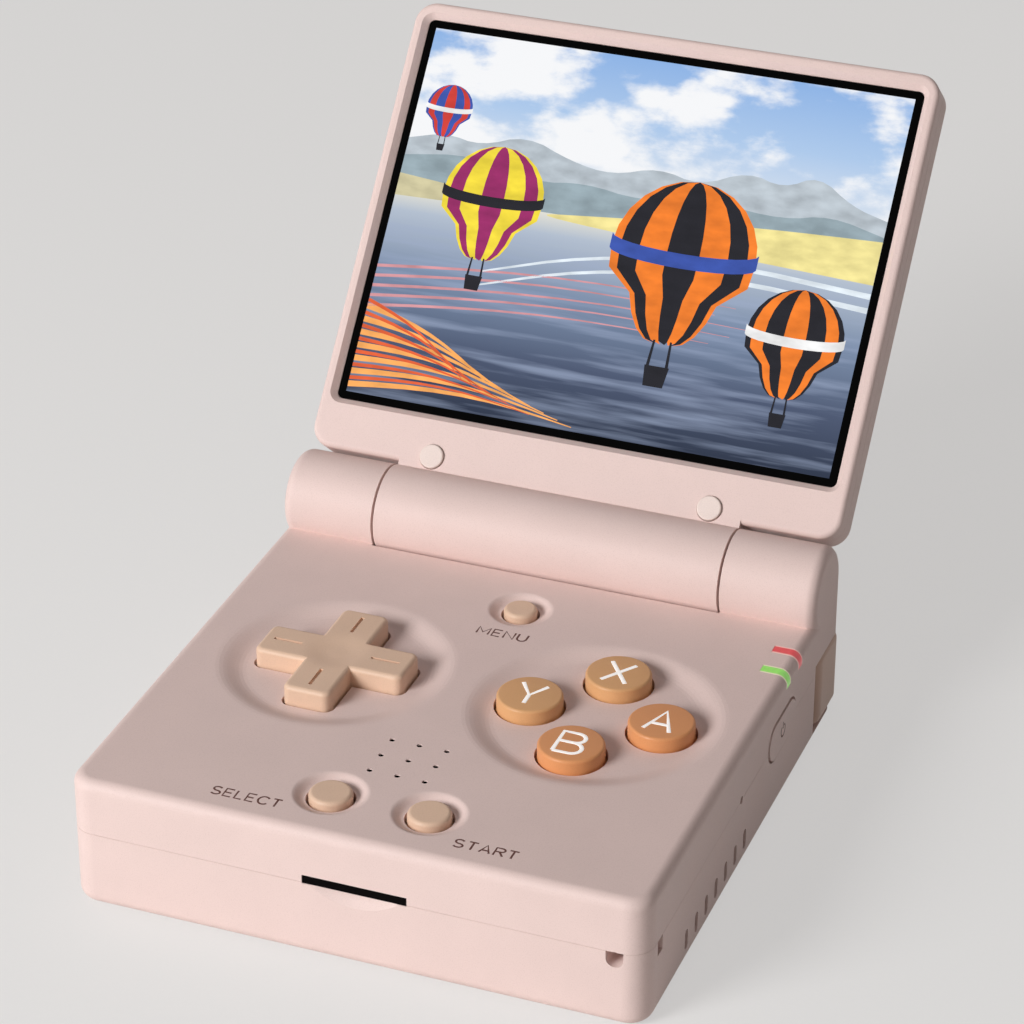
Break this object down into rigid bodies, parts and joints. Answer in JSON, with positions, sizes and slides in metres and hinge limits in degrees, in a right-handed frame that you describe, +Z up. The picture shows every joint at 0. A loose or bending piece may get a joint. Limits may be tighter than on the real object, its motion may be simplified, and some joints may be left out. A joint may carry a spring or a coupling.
{
  "type": "clamshell handheld game console",
  "caption": "Clamshell handheld game console with a folding display lid, direction pad, face buttons and rear shoulder buttons.",
  "frame": {"origin": "centre of the flat underside of the case", "axes": "+Z up from the underside, +X to the player's right, +Y from the front face to the hinge"},
  "size_m": [0.0852, 0.1367, 0.0854],
  "materials": {
    "shell": "fine-grained matt pink plastic",
    "shoulder": "satin tan plastic",
    "tan_key": "satin tan plastic",
    "letter_key": "satin orange-tan plastic",
    "steel": "plain steel",
    "black_plastic": "matt black",
    "battery": "film wrap",
    "board": "solder resist",
    "rubber": "silicone rubber",
    "bumper": "soft pink rubber",
    "red_light": "translucent red",
    "green_light": "translucent green",
    "lamp": "clear resin",
    "cover_glass": "laminated cover glass, black printed border",
    "display": "lit display",
    "flex": "polyimide film"
  },
  "bodies": {
    "base": {"top_case": "shell", "bottom_case": "shell", "battery_door": "shell", "battery_door_screw": "steel", "case_screws": "steel", "battery_pack": "battery", "main_board": "board", "processor_shield": "steel", "card_socket": "steel", "usb_c_port": "steel", "mini_hdmi_port": "steel", "headphone_socket": "black_plastic", "speaker": "black_plastic", "speaker_mesh": "black_plastic", "tact_switches": "black_plastic", "dpad_membrane": "rubber", "abxy_membrane": "rubber", "small_button_membrane": "rubber", "menu_membrane": "rubber", "charge_light_pipe": "red_light", "power_light_pipe": "green_light", "status_lamps": "lamp", "shoulder_pins": "steel", "hinge_hollow_pin": "steel", "hinge_cam_shaft": "steel"},
    "lid": {"lid_bezel": "shell", "lid_back_cover": "shell", "display_glass": "cover_glass", "display_panel": "display", "display_flex": "flex", "lid_bumpers": "bumper", "lid_screws": "steel", "lid_magnet": "steel", "hinge_cam_unit": "steel"},
    "dpad_pivot": {"dpad_pivot_ball": "steel"},
    "dpad": {"dpad": "tan_key"},
    "button_a": {"button_a": "letter_key"},
    "button_b": {"button_b": "letter_key"},
    "button_x": {"button_x": "letter_key"},
    "button_y": {"button_y": "letter_key"},
    "menu_button": {"menu_button": "tan_key"},
    "select_button": {"select_button": "tan_key"},
    "start_button": {"start_button": "tan_key"},
    "power_button": {"power_button": "shell"},
    "volume_rocker": {"volume_rocker": "shell"},
    "l1_button": {"l1_button": "shoulder"},
    "l2_button": {"l2_button": "shoulder"},
    "r1_button": {"r1_button": "shoulder"},
    "r2_button": {"r2_button": "shoulder"}
  },
  "joints": [
    {"name": "lid_hinge", "type": "hinge", "parent": "base", "child": "lid", "pos_m": [0, 0.0369, 0.0238], "axis": [1, 0, 0], "range_deg": [-25, 130.2]},
    {"name": "dpad_up_down", "type": "hinge", "parent": "base", "child": "dpad_pivot", "pos_m": [-0.0195, -0.00232, 0.01575], "axis": [1, 0, 0], "range_deg": [-3, 3], "stiffness_Nm_per_rad": 0.15, "deforming": ["dpad_membrane"]},
    {"name": "dpad_left_right", "type": "hinge", "parent": "dpad_pivot", "child": "dpad", "pos_m": [-0.0195, -0.00232, 0.01575], "axis": [0, 1, 0], "range_deg": [-3, 3], "stiffness_Nm_per_rad": 0.15, "deforming": ["dpad_membrane"]},
    {"name": "button_a_press", "type": "slide", "parent": "base", "child": "button_a", "axis": [0, 0, -1], "range_m": [0, 0.0012], "stiffness_N_per_m": 900, "deforming": ["abxy_membrane"]},
    {"name": "button_b_press", "type": "slide", "parent": "base", "child": "button_b", "axis": [0, 0, -1], "range_m": [0, 0.0012], "stiffness_N_per_m": 900, "deforming": ["abxy_membrane"]},
    {"name": "button_x_press", "type": "slide", "parent": "base", "child": "button_x", "axis": [0, 0, -1], "range_m": [0, 0.0012], "stiffness_N_per_m": 900, "deforming": ["abxy_membrane"]},
    {"name": "button_y_press", "type": "slide", "parent": "base", "child": "button_y", "axis": [0, 0, -1], "range_m": [0, 0.0012], "stiffness_N_per_m": 900, "deforming": ["abxy_membrane"]},
    {"name": "menu_button_press", "type": "slide", "parent": "base", "child": "menu_button", "axis": [0, 0, -1], "range_m": [0, 0.0007], "stiffness_N_per_m": 900, "deforming": ["menu_membrane"]},
    {"name": "select_button_press", "type": "slide", "parent": "base", "child": "select_button", "axis": [0, 0, -1], "range_m": [0, 0.0007], "stiffness_N_per_m": 900, "deforming": ["small_button_membrane"]},
    {"name": "start_button_press", "type": "slide", "parent": "base", "child": "start_button", "axis": [0, 0, -1], "range_m": [0, 0.0007], "stiffness_N_per_m": 900, "deforming": ["small_button_membrane"]},
    {"name": "power_button_press", "type": "slide", "parent": "base", "child": "power_button", "axis": [-1, 0, 0], "range_m": [0, 0.0005], "stiffness_N_per_m": 2000},
    {"name": "volume_rocker_tilt", "type": "hinge", "parent": "base", "child": "volume_rocker", "pos_m": [-0.0416, 0.0157, 0.0124], "axis": [0, 0, 1], "range_deg": [-3, 3], "stiffness_Nm_per_rad": 0.1},
    {"name": "r1_button_press", "type": "hinge", "parent": "base", "child": "r1_button", "pos_m": [0.0305, 0.0385, 0.0073], "axis": [0, 0, -1], "range_deg": [0, 4], "stiffness_Nm_per_rad": 0.3},
    {"name": "r2_button_press", "type": "hinge", "parent": "base", "child": "r2_button", "pos_m": [0.0168, 0.0385, 0.0073], "axis": [0, 0, -1], "range_deg": [0, 4], "stiffness_Nm_per_rad": 0.3},
    {"name": "l1_button_press", "type": "hinge", "parent": "base", "child": "l1_button", "pos_m": [-0.0305, 0.0385, 0.0073], "axis": [0, 0, 1], "range_deg": [0, 4], "stiffness_Nm_per_rad": 0.3},
    {"name": "l2_button_press", "type": "hinge", "parent": "base", "child": "l2_button", "pos_m": [-0.0168, 0.0385, 0.0073], "axis": [0, 0, 1], "range_deg": [0, 4], "stiffness_Nm_per_rad": 0.3}
  ]
}
